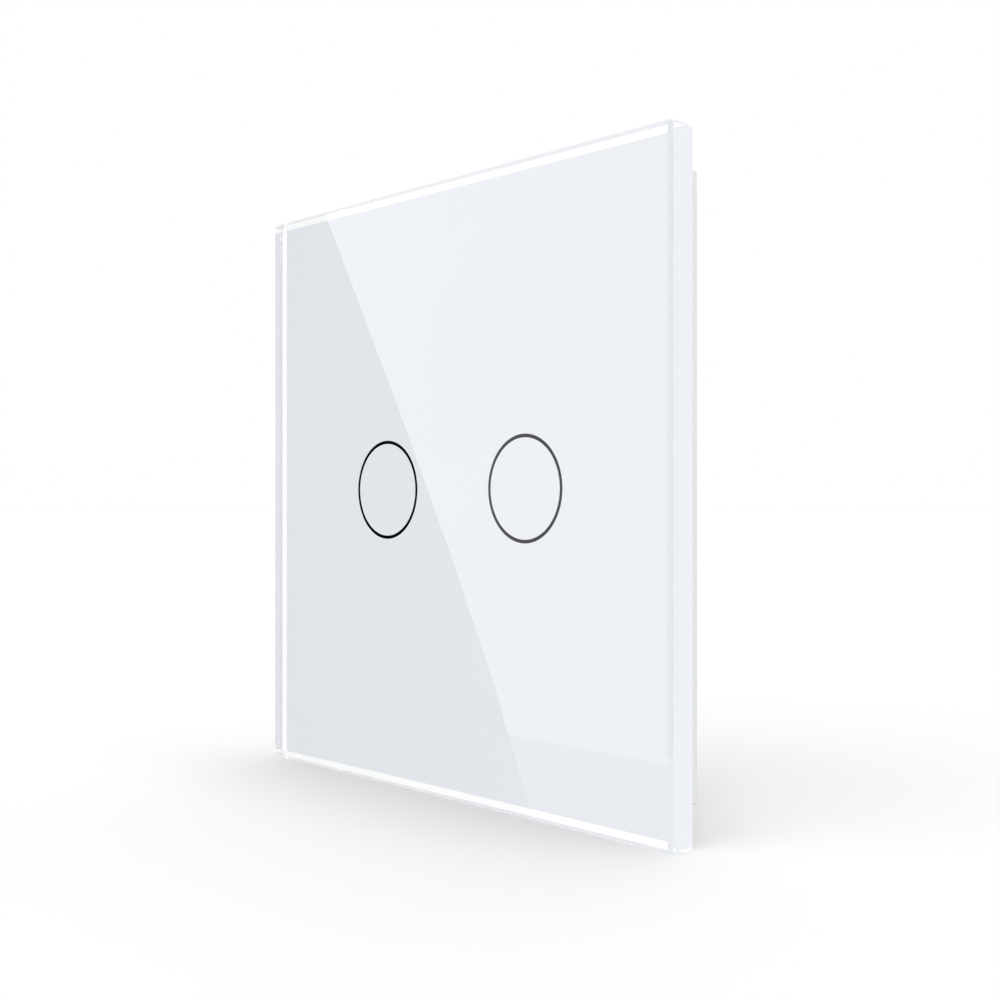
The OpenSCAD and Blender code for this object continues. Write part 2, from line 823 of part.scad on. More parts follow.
module bridge_rectifier() {
    body = [4.6, 2.4, 5];
    x = relay_gap / 2 + disc_t + 2 * part_gap + 2 + body[0] / 2;
    z = z_row + 2 * fuse_r + part_gap + body[2] / 2;
    color([0.13, 0.13, 0.14]) chip([x, z], y_power_back, 1, body, 2);
}

module regulator_chip() {
    body = [3.5, 1.6, 4.6];
    z = z_row + 2 * disc_r + part_gap + body[2] / 2;
    color([0.14, 0.14, 0.15]) chip([relay_gap / 2 + body[0] / 2, z], y_power_back, 1, body, 3);
}

// Puts a relay's own parts on the board, where x, height and z are from its centre line
module in_relay(i) {
    translate([relay_x[i], y_power_back, z_relay]) children();
}

module relay_case(i) {
    color([0.2, 0.35, 0.6]) in_relay(i) difference() {
        box([-relay_w / 2, snug, -relay_d / 2], [relay_w / 2, relay_h, relay_d / 2]);
        box([-case_in_w, -past, -case_in_d], [case_in_w, case_in_h, case_in_d]);
    }
}

module relay_base(i) {
    w = case_in_w - snug;
    d = case_in_d - snug;
    color([0.15, 0.15, 0.16]) in_relay(i) box([-w, 0, -d], [w, base_t, d]);
}

module relay_yoke(i) {
    color("silver") in_relay(i) {
        box([yoke_x, base_t, -yoke_half], [yoke_x + yoke_t, yoke_back, yoke_half]);
        difference() {
            box([yoke_x, yoke_back - yoke_t, -yoke_half],
                [armature_x - pivot_gap, yoke_back, yoke_half]);
            pivot_bead(bead_r + pivot_gap, yoke_half + past);
        }
        cross_rod(yoke_x, armature_x - core_gap, core_h, 0, core_r);
    }
}

// The round bead on which the armature rocks, or the groove for it in the yoke
module pivot_bead(r, half) {
    translate([armature_x, pivot_h, -half]) cylinder(r = r, h = 2 * half);
}

module relay_coil(i) {
    cheek_t = 0.8;
    x0 = yoke_x + yoke_t;
    x1 = armature_x - core_gap - slip;
    half = core_h - base_t - slip;
    color([0.72, 0.4, 0.2]) in_relay(i) difference() {
        union() {
            cross_rod(x0, x1, core_h, 0, winding_r);
            for (x = [x0, x1 - cheek_t])
                box([x, core_h - half, -half - slip], [x + cheek_t, core_h + half, half + slip]);
        }
        cross_rod(x0 - past, x1 + past, core_h, 0, core_r + snug);
    }
}

module relay_contact(i) {
    blade_t = 0.3;
    face = armature_x + contact_proud;
    color("gold") in_relay(i) {
        box([armature_x - blade_t, base_t, -leaf_half],
            [armature_x, button_h + button_r, leaf_half]);
        cross_rod(armature_x - blade_t, face, button_h, 0, button_r);
    }
}

module relay_armature(i) {
    x1 = armature_x + yoke_t;
    color("silver") in_relay(i) {
        box([armature_x, button_h + 1.1 * button_r, -armature_half],
            [x1, yoke_back + slip, armature_half]);
        pivot_bead(bead_r, armature_half);
        box([x1, base_t + leaf_foot, -leaf_half], [x1 + leaf_t, pivot_h - yoke_t, leaf_half]);
        cross_rod(armature_x + contact_proud + contact_travel, x1 + leaf_t / 2,
            button_h, 0, button_r);
    }
}

module terminal_block() {
    y_step = y_bevel_in - seat_gap;
    color([0.2, 0.22, 0.24]) difference() {
        union() {
            box([-block_half, y_power_back, z_block_out], [block_half, y_step, z_block_in]);
            box([-block_half, y_power_back, z_block_rear], [block_half, y_block_back, z_block_in]);
        }
        for (x = way_x) clamp_cell(x);
    }
}

// The hollow for one clamp: cage, bar, wire entry, screw and screw head
module clamp_cell(x) {
    w = cage_w / 2 + cage_gap;
    d = cage_d / 2 + cage_gap;
    box([x - w, y_power_back + block_floor, z_clamp - d], [x + w, y_roof, z_clamp + d]);
    box([x - bar_w / 2 - snug, y_bar - snug, z_clamp],
        [x + bar_w / 2 + snug, y_bar + bar_t + snug, z_block_in + past]);
    box([x - entry_w / 2, y_entry - entry_w / 2, z_block_out - past],
        [x + entry_w / 2, y_entry + entry_w / 2, z_clamp]);
    rod([x, z_clamp], y_roof - past, y_block_back + past, clamp_r + slip);
    rod([x, z_clamp], y_head - snug, y_block_back + past, head_bore_r);
}

module terminal_contacts() {
    color("goldenrod")
        for (x = way_x) {
            box([x - bar_w / 2, y_bar, z_clamp - cage_d / 2],
                [x + bar_w / 2, y_bar + bar_t, z_block_in + bar_t]);
            box([x - bar_w / 2, y_power_back, z_block_in],
                [x + bar_w / 2, y_bar + bar_t, z_block_in + bar_t]);
        }
}

module terminal_cage(i) {
    x = way_x[i];
    w = cage_w / 2;
    d = cage_d / 2;
    color("silver") difference() {
        box([x - w, y_cage, z_clamp - d], [x + w, y_cage_back, z_clamp + d]);
        box([x - w + cage_wall, y_wire, z_clamp - d - past],
            [x + w - cage_wall, y_cage_near, z_clamp + d + past]);
        rod([x, z_clamp], y_cage_near - past, y_cage_back + past, clamp_r + slip);
    }
}

module terminal_screw(i) {
    slot = 0.6;
    at = [way_x[i], z_clamp];
    color("gainsboro") difference() {
        union() {
            rod(at, y_bar + bar_t + snug, y_head + head_h / 2, clamp_r);
            rod(at, y_head, y_head_back, head_r);
        }
        translate([at[0], y_head_back, at[1]]) cube([2 * head_r + past, 2 * slot, slot], center = true);
    }
}

module housing_screws() {
    slot = 0.5;
    color("silver")
        for (c = corners) difference() {
            union() {
                rod(post_at * c, y_screw_head - screw_head_h + snug, y_screw_head, screw_head_r);
                rod(post_at * c, y_screw_head - screw_head_h / 2, y_screw_head + screw_l, screw_r);
            }
            for (turn = [0, 90])
                translate([post_at * c[0], y_screw_head - screw_head_h, post_at * c[1]])
                    rotate([0, turn, 0])
                        cube([1.4 * screw_head_r, screw_head_h, slot], center = true);
        }
}

glass_panel();
white_backprint();
ring_window(-1);  // ring_window_left
ring_window(1);  // ring_window_right
bonding_tape();
panel_frame();
mounting_bracket();
front_cover();
light_guide(-1);  // light_guide_left
light_guide(1);  // light_guide_right
touch_spring(-1);  // touch_spring_left
touch_spring(1);  // touch_spring_right
sensor_board();
indicator_leds();
touch_controller_chip();
sensor_passives();
board_header();
header_pins();
header_socket();
rear_housing();
power_board();
film_capacitor();
smoothing_capacitor();
surge_disc();
fuse_resistor();
bridge_rectifier();
regulator_chip();
for (i = [0:1]) {
    relay_base(i);
    relay_yoke(i);
    relay_coil(i);
    relay_contact(i);
    relay_armature(i);
    relay_case(i);
}
terminal_block();
terminal_contacts();
for (i = [0:ways - 1]) {
    terminal_screw(i);
    terminal_cage(i);
}
housing_screws();
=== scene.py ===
"""Looks and studio for the two-key glass touch switch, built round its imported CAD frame."""

import logging
import math
from dataclasses import dataclass
from enum import Enum
from typing import Any, Callable

import bmesh
import bpy
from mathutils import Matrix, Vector


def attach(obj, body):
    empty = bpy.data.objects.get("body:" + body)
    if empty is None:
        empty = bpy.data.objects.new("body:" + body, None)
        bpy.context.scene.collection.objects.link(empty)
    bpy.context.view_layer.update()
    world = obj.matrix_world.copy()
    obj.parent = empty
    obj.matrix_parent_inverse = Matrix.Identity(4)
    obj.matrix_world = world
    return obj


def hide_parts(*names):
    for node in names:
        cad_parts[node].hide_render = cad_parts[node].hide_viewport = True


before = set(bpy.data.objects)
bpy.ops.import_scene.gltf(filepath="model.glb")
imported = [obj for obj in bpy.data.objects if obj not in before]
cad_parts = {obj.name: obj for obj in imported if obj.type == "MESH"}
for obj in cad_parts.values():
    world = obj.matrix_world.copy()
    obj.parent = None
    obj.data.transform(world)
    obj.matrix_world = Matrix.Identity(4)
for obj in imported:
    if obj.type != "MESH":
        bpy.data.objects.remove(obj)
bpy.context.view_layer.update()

LOG = logging.getLogger("touch_switch")
MM = 0.001
FULL_TURN = 2.0 * math.pi
TURN_STEPS = 72
SHARP_ANGLE = math.radians(40.0)
WELD_GAP = 1e-6
FLAT_ANGLE = math.radians(0.4)
RELAY_X = 10.1 * MM
Colour = tuple[float, float, float]
Point = tuple[float, float, float]
TINNED: Colour = (0.78, 0.77, 0.74)
WHITE_PLASTIC: Colour = (0.80, 0.81, 0.80)


class Wire:
    """An output socket, with arithmetic that adds the nodes it needs."""

    def __init__(self, recipe: "Recipe", socket: bpy.types.NodeSocket) -> None:
        """Keep the socket and the recipe that it belongs to."""
        self.recipe = recipe
        self.socket = socket

    def _join(self, operation: str, first: Any, second: Any = None) -> "Wire":
        """Add a Math node, or a Vector Math node where a side is a vector or a colour.

        Args:
            operation: Blender's name for the operation.
            first: Left side, a wire, a number or a vector.
            second: Right side, likewise, where there is one.

        Returns:
            The result's wire.
        """
        sides = [s for s in (first, second) if s is not None]
        plain = all(not isinstance(s, Wire) or s.socket.type == "VALUE" for s in sides)
        kind = "ShaderNodeMath" if plain else "ShaderNodeVectorMath"
        return self.recipe.node(kind, {"operation": operation}, dict(enumerate(sides)))

    def __add__(self, other: Any) -> "Wire":
        """Give self + other."""
        return self._join("ADD", self, other)

    def __radd__(self, other: Any) -> "Wire":
        """Give other + self."""
        return self._join("ADD", other, self)

    def __sub__(self, other: Any) -> "Wire":
        """Give self - other."""
        return self._join("SUBTRACT", self, other)

    def __rsub__(self, other: Any) -> "Wire":
        """Give other - self."""
        return self._join("SUBTRACT", other, self)

    def __mul__(self, other: Any) -> "Wire":
        """Give self * other."""
        return self._join("MULTIPLY", self, other)

    def __rmul__(self, other: Any) -> "Wire":
        """Give other * self."""
        return self._join("MULTIPLY", other, self)

    def __truediv__(self, other: Any) -> "Wire":
        """Give self / other."""
        return self._join("DIVIDE", self, other)

    def __rtruediv__(self, other: Any) -> "Wire":
        """Give other / self."""
        return self._join("DIVIDE", other, self)

    def __gt__(self, other: Any) -> "Wire":
        """Give 1 where self is over other, and 0 elsewhere."""
        return self._join("GREATER_THAN", self, other)

    def __lt__(self, other: Any) -> "Wire":
        """Give 1 where self is under other, and 0 elsewhere."""
        return self._join("LESS_THAN", self, other)

    def __abs__(self) -> "Wire":
        """Give the size of self without its sign."""
        return self._join("ABSOLUTE", self)

    def sine(self) -> "Wire":
        """Give the sine of self, in radians."""
        return self._join("SINE", self)

    def most(self, other: Any) -> "Wire":
        """Give the larger of self and other."""
        return self._join("MAXIMUM", self, other)

    def reach(self) -> "Wire":
        """Give the length of a vector."""
        return self.recipe.node(
            "ShaderNodeVectorMath", {"operation": "LENGTH"}, {0: self}, "Value"
        )

    def part(self, axis: str) -> "Wire":
        """Give one part of a vector, named X, Y or Z."""
        return self.recipe.node("ShaderNodeSeparateXYZ", {}, {0: self}, axis)


class Recipe:
    """The nodes of one material or world."""

    def __init__(self, tree: bpy.types.NodeTree) -> None:
        """Start an empty recipe in a node tree."""
        self.tree = tree
        tree.nodes.clear()

    def node(
        self,
        kind: str,
        settings: dict[str, Any] | None = None,
        inputs: dict[Any, Any] | None = None,
        output: str | int = 0,
    ) -> Wire:
        """Make any node.

        Args:
            kind: Blender's type name for the node.
            settings: Properties, set before the inputs.
            inputs: Values or wires for sockets, by name or number.
            output: Socket of the wire that comes back.

        Returns:
            The wire of that output.
        """
        made = self.tree.nodes.new(kind)
        for name, value in (settings or {}).items():
            setattr(made, name, value)
        for key, value in (inputs or {}).items():
            socket = made.inputs[key]
            if isinstance(value, Wire):
                self.tree.links.new(value.socket, socket)
            elif socket.type == "RGBA":
                socket.default_value = (*value, 1.0)
            elif socket.type == "VECTOR" and isinstance(value, (int, float)):
                socket.default_value = (value,) * 3
            else:
                socket.default_value = value
        return Wire(self, made.outputs[output] if made.outputs else None)

    def place(self) -> Wire:
        """Give the place on the piece in millimetres, in the shared frame at rest."""
        found = self.node("ShaderNodeTexCoord", {}, {}, "Object")
        return found * (1.0 / MM)

    def noise(
        self, size: float, detail: float = 2.0, stretch: Point = (1.0, 1.0, 1.0)
    ) -> Wire:
        """Give soft noise from 0 to 1.

        Args:
            size: Size of a patch, in millimetres.
            detail: Finer layers.
            stretch: Share of the change along each axis.

        Returns:
            The noise's wire.
        """
        where = self.place() * tuple(s / size for s in stretch)
        return self.node(
            "ShaderNodeTexNoise",
            {"noise_dimensions": "3D"},
            {"Vector": where, "Scale": 1.0, "Detail": detail},
        )

    def cells(self, size: float, output: str = "Distance") -> Wire:
        """Give a pattern of cells.

        Args:
            size: Size of a cell, in millimetres.
            output: Socket to use.

        Returns:
            The pattern's wire.
        """
        return self.node(
            "ShaderNodeTexVoronoi",
            {"feature": "F1"},
            {"Vector": self.place() * (1.0 / size), "Scale": 1.0},
            output,
        )

    def blend(self, factor: Any, first: Any, second: Any) -> Wire:
        """Mix two colours, from the first at 0 to the second at 1."""
        return self.node(
            "ShaderNodeMix",
            {"data_type": "RGBA"},
            {0: factor, 6: first, 7: second},
            2,
        )

    def bump(self, height: Wire, depth: float) -> Wire:
        """Give a normal from a height.

        Args:
            height: Height from 0 to 1.
            depth: What a height of 1 stands for, in millimetres.

        Returns:
            The normal's wire.
        """
        return self.node(
            "ShaderNodeBump",
            {},
            {"Strength": 1.0, "Distance": depth * MM, "Height": height},
        )

    def principled(self, **inputs: Any) -> Wire:
        """Make the main shader; a word's underscores stand for spaces in a socket's name."""
        named = {key.replace("_", " "): value for key, value in inputs.items()}
        return self.node("ShaderNodeBsdfPrincipled", {}, named)

    def facing(self, axis: str) -> Wire:
        """Give how far a face looks along an axis, from -1 to 1."""
        return self.node("ShaderNodeNewGeometry", {}, {}, "True Normal").part(axis)

    def ray(self, kind: str) -> Wire:
        """Give 1 for one kind of ray, such as Is Shadow Ray, and 0 for the rest."""
        return self.node("ShaderNodeLightPath", {}, {}, kind)


class Grain(Enum):
    """How the fine marks on a surface run, as the share of change along each axis."""

    ALONG_X = (0.04, 1.0, 1.0)
    ALONG_Y = (1.0, 0.04, 1.0)
    ALONG_Z = (1.0, 1.0, 0.04)
    EVEN = (1.0, 1.0, 1.0)


def shade_of(colour: Colour, share: float) -> Colour:
    """Give a colour made lighter or darker by a share."""
    return tuple(min(1.0, c * share) for c in colour)


@dataclass(frozen=True)
class Finish:
    """A surface finish, with lengths in millimetres; its material is made when first used."""

    title: str

    def shade(self, recipe: Recipe) -> Wire:
        """Give the shader of this finish."""
        raise NotImplementedError

    def material(self) -> bpy.types.Material:
        """Give this finish's material, and make it the first time."""
        found = bpy.data.materials.get(self.title)
        if found is not None:
            return found
        made = bpy.data.materials.new(self.title)
        made.use_nodes = True
        recipe = Recipe(made.node_tree)
        recipe.node("ShaderNodeOutputMaterial", {}, {"Surface": self.shade(recipe)})
        return made


@dataclass(frozen=True)
class ClearPane(Finish):
    """Polished glass or clear plastic that lets lamps reach what is behind it."""

    tint: Colour
    ior: float
    roughness: float = 0.0
    smear: float = 0.0
    smear_size: float = 9.0
    faint: float = 0.994

    def shade(self, recipe: Recipe) -> Wire:
        """Mix glass with an open surface for rays from lamps and pale surfaces."""
        haze = recipe.noise(self.smear_size, 4.0)
        glass = recipe.principled(
            Base_Color=recipe.blend(haze, shade_of(self.tint, self.faint), self.tint),
            Roughness=haze * self.smear + self.roughness if self.smear else self.roughness,
            IOR=self.ior,
            Transmission_Weight=1.0,
        )
        passing = recipe.ray("Is Shadow Ray").most(recipe.ray("Is Diffuse Ray"))
        through = recipe.node("ShaderNodeBsdfTransparent", {}, {"Color": self.tint})
        return recipe.node("ShaderNodeMixShader", {}, {0: passing, 1: glass, 2: through})


@dataclass(frozen=True)
class FiredPrint(Finish):
    """Enamel printed on the back of the glass through a fine screen."""

    colour: Colour
    patch: float = 14.0
    screen: float = 0.16

    def shade(self, recipe: Recipe) -> Wire:
        """Vary the coat a little, without gloss of its own behind the glass."""
        coat = recipe.noise(self.patch, 3.0) * 0.7 + recipe.noise(self.screen, 1.0) * 0.3
        colour = recipe.blend(coat, shade_of(self.colour, 0.985), shade_of(self.colour, 1.01))
        return recipe.principled(
            Base_Color=colour,
            Roughness=0.6,
            Specular_IOR_Level=0.0,
        )


@dataclass(frozen=True)
class FoamTape(Finish):
    """Closed-cell foam between its two sticky faces."""

    colour: Colour
    cell: float = 0.12

    def shade(self, recipe: Recipe) -> Wire:
        """Show the cut cells as pits, and darken the colour towards each pit's bottom as painted
        shade.
        """
        pit_depth_and_shade = recipe.cells(self.cell)
        # The same mask sets the pits' depth and paints shade into them: the colour darkens where a
        # pit is deepest.
        colour = recipe.blend(pit_depth_and_shade, shade_of(self.colour, 0.8), self.colour)
        return recipe.principled(
            Base_Color=colour,
            Roughness=0.85,
            Normal=recipe.bump(pit_depth_and_shade, 0.04),
        )


@dataclass(frozen=True)
class Moulding(Finish):
    """Moulded plastic with a spark-eroded grain and faint flow marks."""

    colour: Colour
    roughness: float = 0.45
    grain: float = 0.14
    depth: float = 0.006
    flow: float = 16.0

    def shade(self, recipe: Recipe) -> Wire:
        """Vary colour and gloss with the flow, and roughen the skin with the grain."""
        flow = recipe.noise(self.flow, 3.0)
        grain = recipe.noise(self.grain, 1.0)
        colour = recipe.blend(flow, shade_of(self.colour, 0.965), shade_of(self.colour, 1.015))
        return recipe.principled(
            Base_Color=colour,
            Roughness=grain * 0.1 + flow * 0.08 + (self.roughness - 0.09),
            Normal=recipe.bump(grain, self.depth),
        )


@dataclass(frozen=True)
class ZincSheet(Finish):
    """Rolled steel sheet with a passivated zinc coat."""

    colour: Colour
    spangle: float = 3.2
    line: float = 0.35
    cloud: float = 11.0
    passive: Colour = (0.62, 0.66, 0.60)

    def shade(self, recipe: Recipe) -> Wire:
        """Lay faint spangle, rolling lines and cloudy passivation over the metal."""
        flakes = recipe.node(
            "ShaderNodeSeparateColor", {}, {0: recipe.cells(self.spangle, "Color")}
        )
        rolled = recipe.noise(self.line, 3.0, Grain.ALONG_X.value)
        cloud = recipe.noise(self.cloud, 4.0)
        plain = recipe.blend(flakes * 0.5 + rolled * 0.5, shade_of(self.colour, 0.86), self.colour)
        colour = recipe.blend(cloud * 0.35, plain, self.passive)
        return recipe.principled(
            Base_Color=colour,
            Metallic=1.0,
            Roughness=flakes * 0.1 + rolled * 0.1 + cloud * 0.1 + 0.24,
            Normal=recipe.bump(rolled * 0.6 + cloud * 0.4, 0.006),
        )


@dataclass(frozen=True)
class PlainMetal(Finish):
    """Drawn, rolled or turned metal with fine marks and a little tarnish."""

    colour: Colour
    roughness: float = 0.25
    grain: Grain = Grain.EVEN
    mark: float = 0.22
    cloud: float = 2.6
    tarnish: Colour = (0.35, 0.33, 0.30)

    def shade(self, recipe: Recipe) -> Wire:
        """Run the marks along the grain and cloud the metal with tarnish."""
        marks = recipe.noise(self.mark, 2.0, self.grain.value)
        cloud = recipe.noise(self.cloud, 4.0)
        colour = recipe.blend(cloud * 0.22, self.colour, self.tarnish)
        return recipe.principled(
            Base_Color=colour,
            Metallic=1.0,
            Roughness=marks * 0.16 + cloud * 0.08 + (self.roughness - 0.1),
            Normal=recipe.bump(marks, 0.008),
        )


@dataclass(frozen=True)
class TurnedScrew(Finish):
    """Plated screw head with turning marks round its own axis along Y."""

    colour: Colour
    at: tuple[float, float]
    pitch: float = 0.09
    cloud: float = 1.4
    tarnish: Colour = (0.38, 0.36, 0.33)

    def shade(self, recipe: Recipe) -> Wire:
        """Ring the head with the marks of its tool."""
        across = (recipe.place() - (self.at[0], 0.0, self.at[1])) * (1.0, 0.0, 1.0)
        rings = (across.reach() * (FULL_TURN / self.pitch)).sine() * 0.5 + 0.5
        cloud = recipe.noise(self.cloud, 4.0)
        return recipe.principled(
            Base_Color=recipe.blend(cloud * 0.3, self.colour, self.tarnish),
            Metallic=1.0,
            Roughness=rings * 0.08 + cloud * 0.12 + 0.32,
            Normal=recipe.bump(rings, 0.004),
        )


@dataclass(frozen=True)
class Laminate(Finish):
    """Circuit board: solder mask over copper on both faces, bare fibre on its edges."""

    mask: Colour
    copper: Colour
    edge: Colour
    fibre: Colour = (0.5, 0.42, 0.2)
    hatch: float = 1.3
    pitch: float = 1.05
    line: float = 0.3
    pour: float = 8.0
    via_pitch: float = 3.1
    via_size: float = 0.1
    weave: float = 0.3

    def _lines(self, place: Wire, pitch: float) -> Wire:
        """Give 1 on narrow lines at a pitch, and 0 between them."""
        return abs((place * (math.pi / pitch)).sine()) < self.line

    def shade(self, recipe: Recipe) -> Wire:
        """Show hatched copper and tracks under the mask, and cut fibre on the edges."""
        where = recipe.place()
        across, up = where.part("X"), where.part("Z")
        mesh = self._lines(across + up, self.hatch).most(self._lines(across - up, self.hatch))
        poured = recipe.noise(self.pour, 0.0) > 0.5
        tracks = self._lines(up, self.pitch)
        vias = recipe.cells(self.via_pitch) < self.via_size
        lines = (mesh * poured + tracks * (1.0 - poured)).most(vias)
        weave = recipe.noise(self.weave, 2.0)
        masked = recipe.blend(lines * 0.75, self.mask, self.copper)
        cut = recipe.blend(weave, self.edge, self.fibre)
        colour = recipe.blend(abs(recipe.facing("Y")) > 0.5, cut, masked)
        return recipe.principled(
            Base_Color=colour,
            Roughness=weave * 0.12 + 0.3,
            Normal=recipe.bump(lines, 0.035),
        )


@dataclass(frozen=True)
class LeadedResin(Finish):
    """A resin body whose metal leads stand outside a band along one axis."""

    colour: Colour
    axis: str
    middle: float
    half: float
    roughness: float = 0.55
    peel: float = 0.3
    depth: float = 0.01
    lead: Colour = TINNED
    cloud: float = 3.0

    def shade(self, recipe: Recipe) -> Wire:
        """Use resin inside the band and tinned metal outside it."""
        out = abs(recipe.place().part(self.axis) - self.middle) > self.half
        peel = recipe.noise(self.peel, 2.0)
        cloud = recipe.noise(self.cloud, 3.0)
        resin = recipe.blend(cloud, shade_of(self.colour, 0.88), shade_of(self.colour, 1.08))
        tin = recipe.blend(cloud, shade_of(self.lead, 0.85), self.lead)
        return recipe.principled(
            Base_Color=recipe.blend(out, resin, tin),
            Metallic=out,
            Roughness=(1.0 - out) * self.roughness + out * 0.3 + peel * 0.08,
            Normal=recipe.bump(peel, self.depth),
        )


@dataclass(frozen=True)
class ChipParts(Finish):
    """Small ceramic parts with tinned ends, in two rows either side of the middle."""

    colour: Colour
    middle: float
    half: float
    tin: Colour = (0.8, 0.79, 0.76)
    grit: float = 0.15

    def shade(self, recipe: Recipe) -> Wire:
        """Tin both ends of every part."""
        out = abs(abs(recipe.place().part("X")) - self.middle) > self.half
        grit = recipe.noise(self.grit, 2.0)
        body = recipe.blend(grit, shade_of(self.colour, 0.85), self.colour)
        return recipe.principled(
            Base_Color=recipe.blend(out, body, self.tin),
            Metallic=out,
            Roughness=grit * 0.15 + 0.35,
            Normal=recipe.bump(grit, 0.01),
        )


@dataclass(frozen=True)
class SleevedCan(Finish):
    """Capacitor can in a shrink sleeve with a pale stripe and a bare end."""

    sleeve: Colour
    stripe: Colour
    at: tuple[float, float]
    end_y: float
    bare_r: float
    stripe_half: float = 0.9
    can: Colour = (0.84, 0.85, 0.86)
    wrinkle: float = 1.6

    def shade(self, recipe: Recipe) -> Wire:
        """Show the bare end inside the sleeve's rim, and one stripe down the side."""
        where = recipe.place()
        off_x = where.part("X") - self.at[0]
        off_z = where.part("Z") - self.at[1]
        inside = (off_x * off_x + off_z * off_z) < self.bare_r * self.bare_r
        bare = inside * (where.part("Y") > self.end_y)
        stripe = (off_x > 0.0) * (abs(off_z) < self.stripe_half)
        wrinkle = recipe.noise(self.wrinkle, 2.0, Grain.ALONG_Y.value)
        sleeve = recipe.blend(stripe, self.sleeve, self.stripe)
        return recipe.principled(
            Base_Color=recipe.blend(bare, sleeve, self.can),
            Metallic=bare,
            Roughness=wrinkle * 0.2 + 0.22,
            Normal=recipe.bump(wrinkle, 0.02),
        )


@dataclass(frozen=True)
class BandedBody(Finish):
    """Resistor with lacquered bands and tinned leads."""

    colour: Colour
    start: float
    length: float
    bands: tuple[tuple[float, Colour], ...]
    band_half: float = 0.35
    slack: float = 0.02
    lacquer: float = 0.6

    def shade(self, recipe: Recipe) -> Wire:
        """Lay the bands along the body and tin the leads beyond it."""
        along = recipe.place().part("X") - self.start
        out = abs(along - self.length / 2.0) > self.length / 2.0 + self.slack
        lacquer = recipe.noise(self.lacquer, 2.0)
        colour = recipe.blend(lacquer, shade_of(self.colour, 0.9), self.colour)
        for share, band in self.bands:
            colour = recipe.blend(abs(along - share * self.length) < self.band_half, colour, band)
        return recipe.principled(
            Base_Color=recipe.blend(out, colour, TINNED),
            Metallic=out,
            Roughness=lacquer * 0.15 + 0.3,
            Normal=recipe.bump(lacquer, 0.015),
        )


@dataclass(frozen=True)
class LampResin(Finish):
    """Indicator lamp: white body round a yellow phosphor window that looks forward."""

    body: Colour
    window: Colour
    forward: float = -0.9
    grit: float = 0.1

    def shade(self, recipe: Recipe) -> Wire:
        """Put the window on the front face."""
        front = recipe.facing("Y") < self.forward
        grit = recipe.noise(self.grit, 2.0)
        lens = recipe.blend(grit, shade_of(self.window, 0.9), self.window)
        return recipe.principled(
            Base_Color=recipe.blend(front, self.body, lens),
            Roughness=grit * 0.1 + 0.25,
            Normal=recipe.bump(grit, 0.004),
        )


def white_moulding(title: str, level: float, roughness: float, grain: float) -> Moulding:
    """Give the white plastic of the frame, cover or housing.

    Args:
        title: Name of the finish.
        level: Share of the common white.
        roughness: Roughness of its skin.
        grain: Size of its grain, in millimetres.

    Returns:
        The finish.
    """
    return Moulding(title, shade_of(WHITE_PLASTIC, level), roughness, grain)


PANE = ClearPane("polished_pane", (0.985, 0.995, 0.99), 1.46)
GUIDE = ClearPane(
    "clear_guide_plastic", (0.93, 0.96, 0.98), 1.58, roughness=0.08, smear=0.1, smear_size=2.0
)
PRINT = FiredPrint("white_print", (0.7805, 0.790, 0.840))
INK = FiredPrint("smoked_ring_ink", (0.003, 0.003, 0.004))
TAPE = FoamTape("white_foam_tape", (0.80, 0.81, 0.82))
FRAME_SKIN = white_moulding("frame_white", 0.98, 0.4, 0.12)
COVER_SKIN = white_moulding("cover_white", 0.97, 0.5, 0.2)
HOUSING_SKIN = white_moulding("housing_white", 0.94, 0.55, 0.22)
SHEET = ZincSheet("zinc_sheet", (0.66, 0.68, 0.70))
SPRING_WIRE = PlainMetal("gold_plated_wire", (0.88, 0.66, 0.30), 0.2, Grain.EVEN, 0.12)
PADS = PlainMetal("gold_pad", (0.86, 0.66, 0.34), 0.3)
BRASS = PlainMetal("bright_brass", (0.80, 0.60, 0.27), 0.24, Grain.ALONG_Y)
IRON = PlainMetal("soft_iron_plate", (0.56, 0.56, 0.57), 0.34, Grain.ALONG_Z)
STEEL = PlainMetal("plated_cage_steel", (0.72, 0.71, 0.66), 0.28, Grain.ALONG_Z)
COPPER = PlainMetal("enamelled_copper", (0.62, 0.25, 0.11), 0.25, Grain.EVEN, 0.4)
SCREW_PLATE = PlainMetal("plated_screw_steel", (0.74, 0.73, 0.70), 0.26)
BOARD = Laminate("green_board", (0.012, 0.13, 0.05), (0.09, 0.27, 0.10), (0.62, 0.55, 0.32))
LAMPS = LampResin("lamp_body", (0.82, 0.83, 0.84), (0.86, 0.74, 0.22))
BLACK = Moulding("black_resin_moulding", (0.025, 0.025, 0.027), 0.5, 0.1, 0.01)
DARK_GREY = Moulding("terminal_moulding", (0.075, 0.08, 0.085), 0.5, 0.16, 0.008)
RELAY_SKIN = Moulding("relay_blue_moulding", (0.035, 0.13, 0.38), 0.3, 0.2, 0.004)


@dataclass(frozen=True)
class Rounding:
    """How far a moulded, pressed or cut edge is rounded."""

    width: float
    segments: int = 2
    angle: float = math.radians(35.0)

    def apply(self, node: str) -> None:
        """Round a CAD node's edges with modifiers; its own mesh stays as it is."""
        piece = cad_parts[node]
        weld = piece.modifiers.new("join_corners", "WELD")
        weld.merge_threshold = WELD_GAP
        flat = piece.modifiers.new("join_flats", "DECIMATE")
        flat.decimate_type = "DISSOLVE"
        flat.angle_limit = FLAT_ANGLE
        bevel = piece.modifiers.new("round_edges", "BEVEL")
        bevel.width = self.width
        bevel.segments = self.segments
        bevel.limit_method = "ANGLE"
        bevel.angle_limit = self.angle
        bevel.harden_normals = True
        bevel.use_clamp_overlap = True


def dress(finish: Finish, *nodes: str) -> None:
    """Give CAD nodes a finish.

    Args:
        finish: The finish to use.
        nodes: Names of the nodes.
    """
    for node in nodes:
        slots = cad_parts[node].data.materials
        slots.clear()
        slots.append(finish.material())


